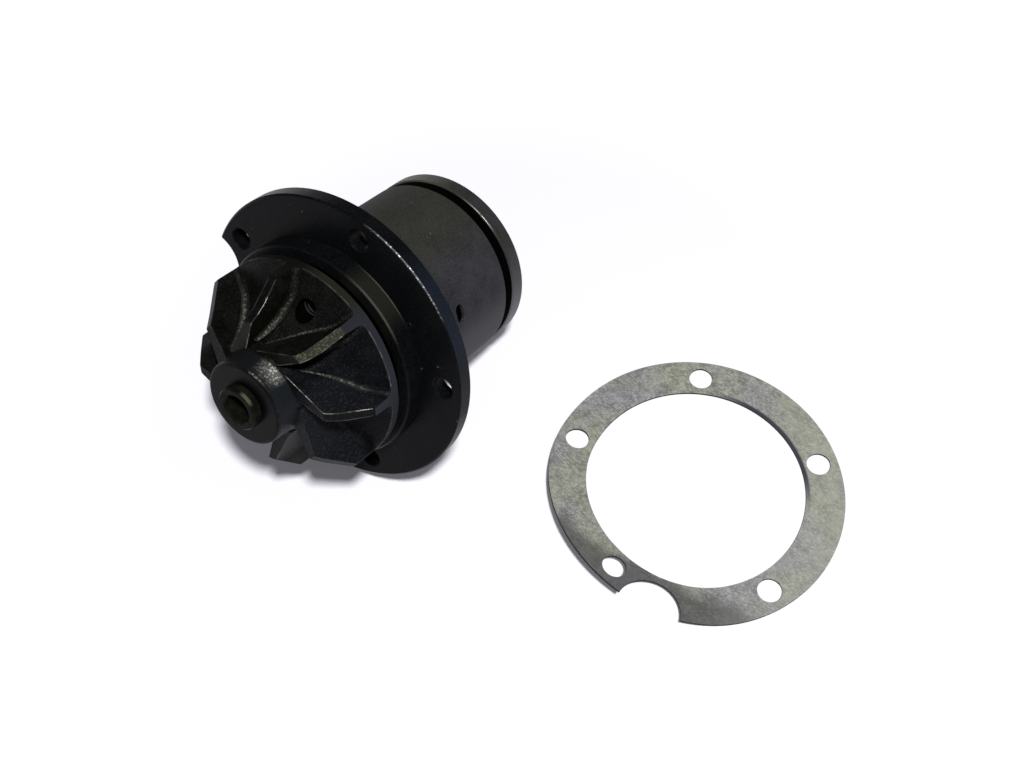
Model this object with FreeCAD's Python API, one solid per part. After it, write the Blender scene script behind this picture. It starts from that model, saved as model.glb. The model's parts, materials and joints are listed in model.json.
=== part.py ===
"""Cartridge water pump for a car engine, lying on its side with its mounting gasket beside it.

Every piece of the pump is built about the pump's own axis, which is local Z: z = 0 is the face of the
mounting flange that seals on the engine, +Z points at the impeller, and local +Y is the top of the
pump as it lies.  A clock angle runs clockwise from the top, seen from the impeller.  At the end the
pump is laid on its flange rim and its hub rim, the gasket is laid flat beside it, and both are moved
so that the origin is on the surface, under the centre of their common box.  Sizes are millimetres.
"""

import FreeCAD
import Part
import math
import os

from FreeCAD import Vector

# ---- fits and clearances ----
PRESS_FIT = 0.02          # radial gap left between two pieces that are pressed together
RUNNING_GAP = 0.15        # gap between pieces that turn against each other inside a bearing
SLIDING_GAP = 0.3         # gap round the seal face, which moves along the shaft

# ---- mounting flange, spigot and bolt pattern ----
FLANGE_DIAMETER = 104.0
FLANGE_THICKNESS = 6.0
EDGE_CHAMFER = 0.6
BOLT_EDGE_DISTANCE = 7.0  # from the bolt circle out to the rim of the flange
BOLT_HOLE_DIAMETER = 7.0
BOLT_COUNT = 5
BOLT_HOLE_CHAMFER = 0.5
FIRST_BOLT_CLOCK = 7.1
NOTCH_RADIUS = 11.0
NOTCH_CLOCK = -85.4
SPIGOT_SETBACK = 7.0      # from the bolt circle in to the spigot
SPIGOT_LENGTH = 8.0
SPIGOT_GROOVE_WIDTH = 1.6
SPIGOT_GROOVE_DEPTH = 0.8
RELIEF_WALL = 4.0         # wall left round the cast relief in the spigot's face
RELIEF_DEPTH = 5.0

# ---- barrel of the housing ----
BARREL_DIAMETER = 65.0
BARREL_LENGTH = 49.0
BARREL_FILLET = 3.0
SHOULDER_HEIGHT = 3.5     # step that the front bearing's outer ring sits against
LEAK_CHAMBER_LENGTH = 6.0
BULKHEAD_THICKNESS = 4.0
SHAFT_CLEARANCE = 1.6
WEEP_HOLE_WIDTH = 3.6
WEEP_HOLE_LENGTH = 6.4    # the hole and its pad are oblong, with their long way round the barrel
WEEP_HOLE_CLOCK = 65.0
WEEP_HOLE_FROM_FLANGE = 28.0
WEEP_PAD_WIDTH = 8.2
WEEP_PAD_LENGTH = 20.0
WEEP_PAD_CLOCK = 70.0
WEEP_PAD_HEIGHT = 0.5
LEAK_GROOVE_WIDTH = 5.0
LEAK_GROOVE_DEPTH = 1.8

# ---- bearings of one size: balls at the front, rollers at the rear, where the belt pulls ----
BEARING_BORE = 17.0
BEARING_DIAMETER = 47.0
BEARING_WIDTH = 14.0
BALL_DIAMETER = 8.5
BALL_COUNT = 7
ROLLER_DIAMETER = 8.0
ROLLER_LENGTH = 8.0
ROLLER_COUNT = 9
RING_CHAMFER = 0.8
RIB_HEIGHT = 2.9          # from the pitch circle to the shoulder or rib of a ring
CAGE_THICKNESS = 3.0
CAGE_RIM = 1.2            # ring of the cage beside its pockets
SHIELD_THICKNESS = 0.7
SHIELD_RECESS = 0.4

# ---- retaining ring behind the rear bearing ----
CIRCLIP_THICKNESS = 1.75
CIRCLIP_WIDTH = 3.6
CIRCLIP_GROOVE_DEPTH = 1.25
CIRCLIP_GROOVE_PLAY = 0.1
CIRCLIP_LAND = 1.65       # housing left behind the groove
CIRCLIP_EAR_RADIUS = 2.6
CIRCLIP_EAR_HOLE = 1.2
CIRCLIP_EAR_ANGLE = 16.0   # from the middle of the gap to an ear
CIRCLIP_GAP_ANGLE = 9.6    # from the middle of the gap to the end of the ring

# ---- shaft ----
SHAFT_SHOULDER_HEIGHT = 2.0
SHAFT_SHOULDER_LENGTH = 2.6
SHAFT_NOSE_DIAMETER = 15.0
SHAFT_NOSE_PROTRUSION = 3.2
SHAFT_CHAMFER = 0.6
CENTRE_HOLE_DIAMETER = 9.5
CENTRE_HOLE_DEPTH = 9.0
CENTRE_DRILL_DEPTH = 3.0
DRILL_POINT_SLOPE = 0.6   # length of a drill's point for each millimetre of its radius
SLINGER_THICKNESS = 1.2
SLINGER_RADIUS = 15.5
SLINGER_LIP = 1.4

# ---- shaft seal ----
SEAL_DIAMETER = 36.5
SEAL_DEPTH = 9.0
SEAL_CUP_WALL = 0.7
SEAL_CUP_LIP = 1.6
CARBON_INNER_RADIUS = 10.2
CARBON_OUTER_RADIUS = 13.8
CARBON_NOSE_RADIUS = 12.8
CARBON_LENGTH = 4.0
CARBON_NOSE_LENGTH = 1.2
CARBON_NOSE_STEP = 0.4    # sloped step from the carbon's body to its nose
DRIVE_BAND_WALL = 0.8
DRIVE_BAND_LENGTH = 2.0
DRIVE_BAND_LIP = 1.8      # width of the lip that the spring pushes on
BELLOWS_WALL = 1.0
BELLOWS_FOOT = 1.2
BELLOWS_FOOT_WIDTH = 2.2
BELLOWS_FOLD_HEIGHT = 1.5
SPRING_WIRE = 1.2
SPRING_TURNS = 2.5
SPRING_END_GAP = 0.1
SEAT_THICKNESS = 4.0
SEAT_WIDTH = 5.2
SEAT_BORE_STEP = 0.6      # the seat's bore is smaller than the carbon's by this in radius
SEAT_RECESS = 0.3         # from the back of the impeller in to the face of the seat
SEAL_FILM = 0.05          # gap drawn between the two faces of the seal
GROMMET_WALL = 1.3

# ---- impeller ----
IMPELLER_DIAMETER = 73.0
IMPELLER_STANDOFF = 3.4   # from the spigot's face to the back of the impeller's disc
DISC_RIM_THICKNESS = 2.9
VANE_COUNT = 8
FIRST_VANE_CLOCK = -12.5
VANE_HEEL_HEIGHT = 10.8   # vane tip at the rim, from the back of the disc
INLET_HEIGHT = 22.9       # flat inlet edge of the vanes, from the back of the disc
INLET_CORNER_RADIUS = 25.9
VANE_TOP_THICKNESS = 2.5
VANE_DRAFT_ANGLE = 3.2
VANE_BEND_START = 30.7    # each vane runs straight in from the rim to this radius
VANE_BEND_ANGLE = 31.0    # and then bends by this angle
VANE_BEND_RADIUS = 12.0
VANE_SPREAD_ANGLE = 11.0  # its outer side bends less by this, so the vane is thicker at the hub
VANE_RIM_TAPER = 0.1      # each side draws in by this for each millimetre out to the rim
VANE_ROOT_LENGTH = 16.0
HUB_BOSS_RADIUS = 14.5
HUB_BOSS_HEIGHT = 30.6    # face of the hub boss, from the back of the disc
HUB_BOSS_ROUND = 1.2
HUB_FLANK_SLOPE = 25.0
FLOOR_RIM_SLOPE = 0.4
FLOOR_SWEEP_RADIUS = 23.0
PULLER_HOLE_DIAMETER = 6.8
PULLER_HOLE_AT = 26.0
PULLER_HOLE_CLOCK = 5.5
PULLER_HOLE_COUNT = 2

# ---- pulley hub ----
HUB_DIAMETER = 65.0
HUB_THICKNESS = 6.3
HUB_GAP = 3.9
HUB_BOSS_WALL = 3.6
HUB_PILOT_DIAMETER = 28.0
HUB_PILOT_LENGTH = 3.0
HUB_BOLT_CIRCLE_DIAMETER = 46.0
HUB_BOLT_HOLE_DIAMETER = 6.8
HUB_BOLT_COUNT = 4
HUB_BOLT_CLOCK = 20.0

# ---- gasket ----
GASKET_THICKNESS = 0.8
GASKET_BORE_CLEARANCE = 0.5
GASKET_HOLE_DIAMETER = 8.4
GASKET_OFFSET_X = 116.2   # gasket centre from the centre of the flange's face, as they lie
GASKET_OFFSET_Y = 49.2
GASKET_TURN = 100.7      # first bolt hole of the gasket, anticlockwise from +Y, seen from above

# ---- places that follow from the sizes above ----
flange_radius = FLANGE_DIAMETER / 2
bolt_circle_radius = flange_radius - BOLT_EDGE_DISTANCE
spigot_radius = bolt_circle_radius - SPIGOT_SETBACK
flange_back = -FLANGE_THICKNESS
barrel_end = flange_back - BARREL_LENGTH
circlip_back = barrel_end + CIRCLIP_LAND
rear_bearing_back = circlip_back + CIRCLIP_THICKNESS
seal_floor = SPIGOT_LENGTH - SEAL_DEPTH
bulkhead_back = seal_floor - BULKHEAD_THICKNESS
front_bearing_front = bulkhead_back - LEAK_CHAMBER_LENGTH
front_bearing_back = front_bearing_front - BEARING_WIDTH
rear_bearing_front = rear_bearing_back + BEARING_WIDTH
disc_back = SPIGOT_LENGTH + IMPELLER_STANDOFF
rim_front = disc_back + DISC_RIM_THICKNESS
boss_face = disc_back + HUB_BOSS_HEIGHT
nose_end = boss_face + SHAFT_NOSE_PROTRUSION
hub_front = barrel_end - HUB_GAP
hub_back = hub_front - HUB_THICKNESS
pilot_end = hub_back - HUB_PILOT_LENGTH
shaft_radius = BEARING_BORE / 2
nose_radius = SHAFT_NOSE_DIAMETER / 2
bearing_radius = BEARING_DIAMETER / 2
pitch_radius = (BEARING_BORE + BEARING_DIAMETER) / 4
seal_radius = SEAL_DIAMETER / 2
seat_inner = CARBON_INNER_RADIUS - SEAT_BORE_STEP
seat_outer = seat_inner + SEAT_WIDTH
seat_back = disc_back + SEAT_RECESS
seat_front = seat_back + SEAT_THICKNESS
grommet_front = seat_front + GROMMET_WALL
grommet_radius = seat_outer + GROMMET_WALL
carbon_front = seat_back - SEAL_FILM
carbon_back = carbon_front - CARBON_LENGTH

Z_AXIS = Vector(0, 0, 1)
ORIGIN = Vector(0, 0, 0)


# ---- small helpers ----
def cylinder(radius, z_low, z_high):
    return Part.makeCylinder(radius, z_high - z_low, Vector(0, 0, z_low))


def tube(inner, outer, z_low, z_high):
    return cylinder(outer, z_low, z_high).cut(cylinder(inner, z_low - 1, z_high + 1))


def revolved(profile):
    """Solid of revolution from a closed outline of (radius, z) points."""
    points = [Vector(radius, 0, z) for radius, z in profile]
    wire = Part.makePolygon(points + [points[0]])
    return Part.Face(wire).revolve(ORIGIN, Z_AXIS, 360)


def chamfered_disc(radius, z_low, z_high, chamfer):
    return revolved([(0, z_low), (radius - chamfer, z_low), (radius, z_low + chamfer),
                     (radius, z_high - chamfer), (radius - chamfer, z_high), (0, z_high)])


def on_clock(radius, clock, z=0.0):
    angle = math.radians(clock)
    return Vector(radius * math.sin(angle), radius * math.cos(angle), z)


def around(count, first_clock=0.0):
    return [first_clock + index * 360.0 / count for index in range(count)]


def bolt_drill(radius, z_low, z_high, chamfer):
    """A drilled hole with a small countersink at both ends, as the solid that is cut away."""
    outside = 1.0
    return revolved([(0, z_low - outside), (radius + chamfer + outside, z_low - outside),
                     (radius, z_low + chamfer), (radius, z_high - chamfer),
                     (radius + chamfer + outside, z_high + outside), (0, z_high + outside)])


def drilled(solid, drill, circle_radius, clocks):
    for clock in clocks:
        hole = drill.copy()
        hole.translate(on_clock(circle_radius, clock))
        solid = solid.cut(hole)
    return solid


def turned_to_clock(shape, clock):
    copy = shape.copy()
    copy.rotate(ORIGIN, Z_AXIS, -clock)
    return copy


def filleted_where(solid, radius, wanted):
    """Fillets each circular edge whose (radius, z) the test accepts."""
    edges = [edge for edge in solid.Edges
             if isinstance(edge.Curve, Part.Circle) and wanted(edge.Curve.Radius, edge.Curve.Center.z)]
    return solid.makeFillet(radius, edges)


def near(value, target):
    return abs(value - target) < 1e-4


# ---- housing ----
def weep_bar(width, length, clock, inner, outer):
    """An oblong bar that points outwards along a radius, as far from the flange as the weep hole is."""
    outward = on_clock(1, clock)
    end = outward.cross(Z_AXIS)
    side = Z_AXIS * (width / 2)
    middle = on_clock(inner, clock, -WEEP_HOLE_FROM_FLANGE)
    left = middle - end * ((length - width) / 2)
    right = middle + end * ((length - width) / 2)
    curves = [
        Part.LineSegment(left + side, right + side),
        Part.Arc(right + side, right + end * (width / 2), right - side),
        Part.LineSegment(right - side, left - side),
        Part.Arc(left - side, left - end * (width / 2), left + side),
    ]
    wire = Part.Wire([curve.toShape() for curve in curves])
    return Part.Face(wire).extrude(outward * (outer - inner))


def leak_groove():
    """Groove along the bearing bore: it takes leaked coolant past the front bearing to the weep hole."""
    top = bearing_radius + LEAK_GROOVE_DEPTH
    low = -WEEP_HOLE_FROM_FLANGE - WEEP_HOLE_WIDTH / 2
    bar = Part.makeBox(LEAK_GROOVE_WIDTH, top, bulkhead_back - low,
                       Vector(-LEAK_GROOVE_WIDTH / 2, 0, low))
    return turned_to_clock(bar, WEEP_HOLE_CLOCK)


def make_housing():
    barrel_radius = BARREL_DIAMETER / 2
    body = chamfered_disc(flange_radius, flange_back, 0, EDGE_CHAMFER)
    spigot = chamfered_disc(spigot_radius, flange_back + EDGE_CHAMFER, SPIGOT_LENGTH, EDGE_CHAMFER)
    barrel = chamfered_disc(barrel_radius, barrel_end, -EDGE_CHAMFER, EDGE_CHAMFER)
    body = body.fuse([spigot, barrel]).removeSplitter()
    body = filleted_where(body, BARREL_FILLET,
                          lambda r, z: near(r, barrel_radius) and near(z, flange_back))
    pad = weep_bar(WEEP_PAD_WIDTH, WEEP_PAD_LENGTH, WEEP_PAD_CLOCK, bearing_radius + 2, barrel_radius + 5)
    pad = pad.common(cylinder(barrel_radius + WEEP_PAD_HEIGHT, barrel_end, flange_back))
    body = body.fuse(pad)
    cuts = [
        cylinder(bearing_radius + PRESS_FIT, barrel_end - 1, front_bearing_front),
        cylinder(bearing_radius - SHOULDER_HEIGHT, front_bearing_front - 1, bulkhead_back),
        cylinder(shaft_radius + SHAFT_CLEARANCE, bulkhead_back - 1, seal_floor + 1),
        cylinder(seal_radius + PRESS_FIT, seal_floor, SPIGOT_LENGTH + 1),
        tube(seal_radius + RELIEF_WALL, spigot_radius - RELIEF_WALL,
             SPIGOT_LENGTH - RELIEF_DEPTH, SPIGOT_LENGTH + 1),
        tube(spigot_radius - SPIGOT_GROOVE_DEPTH, spigot_radius + 1, 0, SPIGOT_GROOVE_WIDTH),
        cylinder(bearing_radius + CIRCLIP_GROOVE_DEPTH, circlip_back - CIRCLIP_GROOVE_PLAY,
                 rear_bearing_back),
        weep_bar(WEEP_HOLE_WIDTH, WEEP_HOLE_LENGTH, WEEP_HOLE_CLOCK, pitch_radius, barrel_radius + 5),
        leak_groove(),
    ]
    body = body.cut(cuts)
    notch = cylinder(NOTCH_RADIUS, flange_back - 1, 1)
    notch.translate(on_clock(flange_radius, NOTCH_CLOCK))
    body = body.cut(notch)
    drill = bolt_drill(BOLT_HOLE_DIAMETER / 2, flange_back, 0, BOLT_HOLE_CHAMFER)
    return drilled(body, drill, bolt_circle_radius, around(BOLT_COUNT, FIRST_BOLT_CLOCK))


# ---- bearings ----
def plain_outer_ring(z_low):
    ring = chamfered_disc(bearing_radius, z_low, z_low + BEARING_WIDTH, RING_CHAMFER)
    return ring.cut(cylinder(pitch_radius + RIB_HEIGHT, z_low - 1, z_low + BEARING_WIDTH + 1))


def plain_inner_ring(z_low, outer):
    ring = chamfered_disc(outer, z_low, z_low + BEARING_WIDTH, RING_CHAMFER / 2)
    return ring.cut(cylinder(shaft_radius + PRESS_FIT, z_low - 1, z_low + BEARING_WIDTH + 1))


def plain_cage(z_low, pocket_length):
    z_middle = z_low + BEARING_WIDTH / 2
    half = pocket_length / 2 + CAGE_RIM
    return tube(pitch_radius - CAGE_THICKNESS / 2, pitch_radius + CAGE_THICKNESS / 2,
                z_middle - half, z_middle + half)


def shields(z_low, inner_ring_radius):
    inner = inner_ring_radius + SLIDING_GAP
    outer = pitch_radius + RIB_HEIGHT - PRESS_FIT
    front = z_low + BEARING_WIDTH - SHIELD_RECESS
    back = z_low + SHIELD_RECESS
    return Part.makeCompound([tube(inner, outer, back, back + SHIELD_THICKNESS),
                              tube(inner, outer, front - SHIELD_THICKNESS, front)])


def make_ball_bearing(z_low):
    z_middle = z_low + BEARING_WIDTH / 2
    pocket = BALL_DIAMETER / 2 + RUNNING_GAP
    race = Part.makeTorus(pitch_radius, pocket, Vector(0, 0, z_middle))
    centres = [on_clock(pitch_radius, clock, z_middle) for clock in around(BALL_COUNT)]
    inner_radius = pitch_radius - RIB_HEIGHT
    windows = [Part.makeCylinder(pocket, CAGE_THICKNESS * 2, centre - on_clock(CAGE_THICKNESS, clock),
                                 on_clock(1, clock))
               for centre, clock in zip(centres, around(BALL_COUNT))]
    return {
        "outer_ring": plain_outer_ring(z_low).cut(race),
        "inner_ring": plain_inner_ring(z_low, inner_radius).cut(race),
        "balls": Part.makeCompound([Part.makeSphere(BALL_DIAMETER / 2, centre) for centre in centres]),
        "cage": plain_cage(z_low, 2 * pocket).cut(windows),
        "shields": shields(z_low, inner_radius),
    }


def make_roller_bearing(z_low):
    """Rollers between the ribs of the outer ring, on a plain inner ring."""
    z_middle = z_low + BEARING_WIDTH / 2
    pocket = ROLLER_DIAMETER / 2 + RUNNING_GAP
    pocket_length = ROLLER_LENGTH + 2 * RUNNING_GAP
    inner_radius = pitch_radius - pocket
    race = cylinder(pitch_radius + pocket, z_middle - pocket_length / 2, z_middle + pocket_length / 2)
    foot = z_middle - ROLLER_LENGTH / 2
    clocks = around(ROLLER_COUNT)
    rollers = [Part.makeCylinder(ROLLER_DIAMETER / 2, ROLLER_LENGTH, on_clock(pitch_radius, clock, foot))
               for clock in clocks]
    windows = [Part.makeCylinder(pocket, pocket_length,
                                 on_clock(pitch_radius, clock, z_middle - pocket_length / 2))
               for clock in clocks]
    return {
        "outer_ring": plain_outer_ring(z_low).cut(race),
        "inner_ring": plain_inner_ring(z_low, inner_radius),
        "rollers": Part.makeCompound(rollers),
        "cage": plain_cage(z_low, pocket_length).cut(windows),
        "shields": shields(z_low, inner_radius),
    }


def make_circlip():
    """Internal retaining ring with two ears, each with a hole for the pliers."""
    groove_radius = bearing_radius + CIRCLIP_GROOVE_DEPTH - CIRCLIP_GROOVE_PLAY
    inner = groove_radius - CIRCLIP_WIDTH
    ring = tube(inner, groove_radius, circlip_back, rear_bearing_back)
    ears = []
    holes = []
    for side in (-1, 1):
        centre = on_clock(inner, side * CIRCLIP_EAR_ANGLE, circlip_back)
        ears.append(Part.makeCylinder(CIRCLIP_EAR_RADIUS, CIRCLIP_THICKNESS, centre))
        holes.append(Part.makeCylinder(CIRCLIP_EAR_HOLE, CIRCLIP_THICKNESS, centre))
    reach = 2 * groove_radius
    corner = math.radians(CIRCLIP_GAP_ANGLE)
    wedge = Part.makePolygon([Vector(0, 0, circlip_back),
                              Vector(-reach * math.sin(corner), reach * math.cos(corner), circlip_back),
                              Vector(reach * math.sin(corner), reach * math.cos(corner), circlip_back),
                              Vector(0, 0, circlip_back)])
    gap = Part.Face(wedge).extrude(Vector(0, 0, CIRCLIP_THICKNESS))
    return ring.fuse(ears).cut(holes + [gap]).removeSplitter()


# ---- shaft and what sits on it ----
def make_shaft():
    shoulder_radius = shaft_radius + SHAFT_SHOULDER_HEIGHT
    shoulder_front = front_bearing_front + SHAFT_SHOULDER_LENGTH
    chamfer = SHAFT_CHAMFER
    hole = CENTRE_HOLE_DIAMETER / 2
    body = revolved([
        (0, pilot_end), (shaft_radius - chamfer, pilot_end), (shaft_radius, pilot_end + chamfer),
        (shaft_radius, front_bearing_front), (shoulder_radius, front_bearing_front),
        (shoulder_radius, shoulder_front), (nose_radius, shoulder_front),
        (nose_radius, nose_end - chamfer), (nose_radius - chamfer, nose_end),
        (hole + chamfer, nose_end), (hole, nose_end - chamfer), (hole, nose_end - CENTRE_HOLE_DEPTH),
        (0, nose_end - CENTRE_HOLE_DEPTH - hole * DRILL_POINT_SLOPE),
    ])
    drill = Part.makeCone(CENTRE_DRILL_DEPTH * DRILL_POINT_SLOPE, 0, CENTRE_DRILL_DEPTH,
                          Vector(0, 0, pilot_end))
    return body.cut(drill)


def make_spacer():
    return tube(shaft_radius + PRESS_FIT, pitch_radius - RIB_HEIGHT - RING_CHAMFER,
                rear_bearing_front, front_bearing_back)


def make_slinger():
    """Disc with a turned-back lip that throws leaked coolant off the shaft."""
    low = front_bearing_front + SHAFT_SHOULDER_LENGTH
    high = low + SLINGER_THICKNESS
    inner = nose_radius + PRESS_FIT
    return revolved([(inner, low), (SLINGER_RADIUS, low), (SLINGER_RADIUS, high + SLINGER_LIP),
                     (SLINGER_RADIUS - SLINGER_THICKNESS, high + SLINGER_LIP),
                     (SLINGER_RADIUS - SLINGER_THICKNESS, high), (inner, high)])


# ---- shaft seal ----
def make_seal_cup():
    wall = SEAL_CUP_WALL
    inner = shaft_radius + SHAFT_CLEARANCE
    lip_radius = seal_radius + SEAL_CUP_LIP
    return revolved([
        (inner, seal_floor), (seal_radius, seal_floor), (seal_radius, SPIGOT_LENGTH),
        (lip_radius, SPIGOT_LENGTH), (lip_radius, SPIGOT_LENGTH + wall),
        (seal_radius - wall, SPIGOT_LENGTH + wall), (seal_radius - wall, seal_floor + wall),
        (inner, seal_floor + wall),
    ])


def make_bellows():
    """Rubber sleeve with one fold, clamped to the cup's floor behind and to the carbon in front."""
    low = seal_floor + SEAL_CUP_WALL
    high = carbon_back
    wall = BELLOWS_WALL
    inner = CARBON_INNER_RADIUS
    middle = (low + high) / 2
    fold = inner + BELLOWS_FOLD_HEIGHT
    foot = inner + BELLOWS_FOOT_WIDTH
    return revolved([
        (inner, low), (foot, low), (foot, low + BELLOWS_FOOT / 2),
        (inner + wall, low + BELLOWS_FOOT), (fold + wall, middle), (inner + wall, high - BELLOWS_FOOT / 2),
        (foot, high), (inner, high), (inner, high - BELLOWS_FOOT / 2), (fold, middle),
        (inner, low + BELLOWS_FOOT / 2),
    ])


def make_spring():
    """Coil of square wire between the floor of the cup and the lip of the drive band."""
    half = SPRING_WIRE / 2
    coil_radius = CARBON_OUTER_RADIUS + DRIVE_BAND_WALL + SPRING_WIRE
    low = seal_floor + SEAL_CUP_WALL + half + SPRING_END_GAP
    high = carbon_back + DRIVE_BAND_LENGTH - DRIVE_BAND_WALL - half - SPRING_END_GAP
    helix = Part.makeHelix((high - low) / SPRING_TURNS, high - low, coil_radius)
    helix.translate(Vector(0, 0, low))
    corners = [Vector(coil_radius + across * half, 0, low + along * half)
               for across, along in ((-1, -1), (1, -1), (1, 1), (-1, 1))]
    section = Part.makePolygon(corners + [corners[0]])
    return Part.Wire(helix.Edges).makePipeShell([section], True, True)


def make_drive_band():
    """Pressed ring round the carbon: its lip is the front seat of the spring."""
    inner = CARBON_OUTER_RADIUS + PRESS_FIT
    outer = inner + DRIVE_BAND_WALL
    low = carbon_back
    high = carbon_back + DRIVE_BAND_LENGTH
    lip = outer + DRIVE_BAND_LIP
    return revolved([(inner, low), (outer, low), (outer, high - DRIVE_BAND_WALL),
                     (lip, high - DRIVE_BAND_WALL), (lip, high), (inner, high)])


def make_carbon():
    nose = carbon_front - CARBON_NOSE_LENGTH
    return revolved([(CARBON_INNER_RADIUS, carbon_back), (CARBON_OUTER_RADIUS, carbon_back),
                     (CARBON_OUTER_RADIUS, nose), (CARBON_NOSE_RADIUS, nose + CARBON_NOSE_STEP),
                     (CARBON_NOSE_RADIUS, carbon_front), (CARBON_INNER_RADIUS, carbon_front)])


def make_seat():
    return tube(seat_inner, seat_outer, seat_back, seat_front)


def make_grommet():
    """Rubber cup that holds the ceramic seat in the back of the impeller."""
    return revolved([(seat_inner, seat_front), (seat_outer + PRESS_FIT, seat_front),
                     (seat_outer + PRESS_FIT, disc_back), (grommet_radius, disc_back),
                     (grommet_radius, grommet_front), (seat_inner, grommet_front)])


# ---- impeller ----
def impeller_core():
    """Disc and hub in one turn: the floor between the vanes sweeps up into the flank of the hub."""
    rim = IMPELLER_DIAMETER / 2
    corner_r = (HUB_BOSS_RADIUS * HUB_FLANK_SLOPE + boss_face - rim_front - FLOOR_RIM_SLOPE * rim)
    corner_r = corner_r / (HUB_FLANK_SLOPE - FLOOR_RIM_SLOPE)
    corner = Vector(corner_r, 0, rim_front + FLOOR_RIM_SLOPE * (rim - corner_r))
    to_rim = Vector(1, 0, -FLOOR_RIM_SLOPE).normalize()
    to_hub = Vector(-1, 0, HUB_FLANK_SLOPE).normalize()
    half_turn = (math.pi - to_rim.getAngle(to_hub)) / 2
    tangent = FLOOR_SWEEP_RADIUS * math.tan(half_turn)
    bisector = (to_rim + to_hub).normalize()
    centre = corner + bisector * (FLOOR_SWEEP_RADIUS / math.cos(half_turn))
    arc_start = corner + to_rim * tangent
    arc_middle = centre - bisector * FLOOR_SWEEP_RADIUS
    arc_end = corner + to_hub * tangent
    rim_top = Vector(rim, 0, rim_front)
    rim_bottom = Vector(rim, 0, disc_back)
    boss_edge = Vector(HUB_BOSS_RADIUS, 0, boss_face)
    edges = [
        Part.LineSegment(Vector(0, 0, disc_back), rim_bottom),
        Part.LineSegment(rim_bottom, rim_top),
        Part.LineSegment(rim_top, arc_start),
        Part.Arc(arc_start, arc_middle, arc_end),
        Part.LineSegment(arc_end, boss_edge),
        Part.LineSegment(boss_edge, Vector(0, 0, boss_face)),
        Part.LineSegment(Vector(0, 0, boss_face), Vector(0, 0, disc_back)),
    ]
    wire = Part.Wire([edge.toShape() for edge in edges])
    core = Part.Face(wire).revolve(ORIGIN, Z_AXIS, 360)
    return filleted_where(core, HUB_BOSS_ROUND, lambda r, z: near(z, boss_face))


def vane_outline(half_thickness, z):
    """Plan of one vane at height z: in from the rim, one bend, then straight on into the hub.

    The vane is thinnest at the rim, and the outer side of its bend turns less, so it thickens at the hub.
    """
    rim = IMPELLER_DIAMETER / 2 + 2
    rim_half_thickness = half_thickness - VANE_RIM_TAPER * (rim - VANE_BEND_START)
    centre = Vector(-VANE_BEND_RADIUS, VANE_BEND_START, z)
    sides = []
    for side, angle in ((-1, VANE_BEND_ANGLE), (1, VANE_BEND_ANGLE - VANE_SPREAD_ANGLE)):
        bend = math.radians(angle)
        radius = VANE_BEND_RADIUS + side * half_thickness
        start = centre + Vector(radius, 0, 0)
        middle = centre + Vector(math.cos(bend / 2), -math.sin(bend / 2), 0) * radius
        end = centre + Vector(math.cos(bend), -math.sin(bend), 0) * radius
        root = end + Vector(-math.sin(bend), -math.cos(bend), 0) * VANE_ROOT_LENGTH
        sides.append((Vector(side * rim_half_thickness, rim, z), start, middle, end, root))
    left, right = sides
    curves = [
        Part.LineSegment(left[0], left[1]), Part.Arc(left[1], left[2], left[3]),
        Part.LineSegment(left[3], left[4]), Part.LineSegment(left[4], right[4]),
        Part.LineSegment(right[4], right[3]), Part.Arc(right[3], right[2], right[1]),
        Part.LineSegment(right[1], right[0]), Part.LineSegment(right[0], left[0]),
    ]
    return Part.Wire([curve.toShape() for curve in curves])


def make_vane():
    low = disc_back + DISC_RIM_THICKNESS / 2
    high = disc_back + INLET_HEIGHT
    half_top = VANE_TOP_THICKNESS / 2
    half_root = half_top + (high - low) * math.tan(math.radians(VANE_DRAFT_ANGLE))
    blank = Part.makeLoft([vane_outline(half_root, low), vane_outline(half_top, high)], True, True)
    rim = IMPELLER_DIAMETER / 2
    envelope = revolved([(0, disc_back), (rim, disc_back), (rim, disc_back + VANE_HEEL_HEIGHT),
                         (INLET_CORNER_RADIUS, high), (0, high)])
    return blank.common(envelope)


def make_impeller():
    vane = make_vane()
    vanes = [turned_to_clock(vane, clock) for clock in around(VANE_COUNT, FIRST_VANE_CLOCK)]
    body = impeller_core().fuse(vanes).removeSplitter()
    body = body.cut([cylinder(nose_radius + PRESS_FIT, disc_back - 1, boss_face + 1),
                     cylinder(grommet_radius + PRESS_FIT, disc_back - 1, grommet_front)])
    drill = cylinder(PULLER_HOLE_DIAMETER / 2, disc_back - 1, boss_face)
    return drilled(body, drill, PULLER_HOLE_AT, around(PULLER_HOLE_COUNT, PULLER_HOLE_CLOCK))


# ---- pulley hub ----
def make_hub():
    boss_radius = shaft_radius + HUB_BOSS_WALL
    disc = chamfered_disc(HUB_DIAMETER / 2, hub_back, hub_front, EDGE_CHAMFER)
    boss = cylinder(boss_radius, hub_back + 1, rear_bearing_back)
    pilot = chamfered_disc(HUB_PILOT_DIAMETER / 2, pilot_end, hub_front - 1, EDGE_CHAMFER)
    body = disc.fuse([boss, pilot]).removeSplitter()
    body = body.cut(cylinder(shaft_radius + PRESS_FIT, pilot_end - 1, rear_bearing_back + 1))
    drill = bolt_drill(HUB_BOLT_HOLE_DIAMETER / 2, hub_back, hub_front, BOLT_HOLE_CHAMFER)
    return drilled(body, drill, HUB_BOLT_CIRCLE_DIAMETER / 2, around(HUB_BOLT_COUNT, HUB_BOLT_CLOCK))


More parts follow.
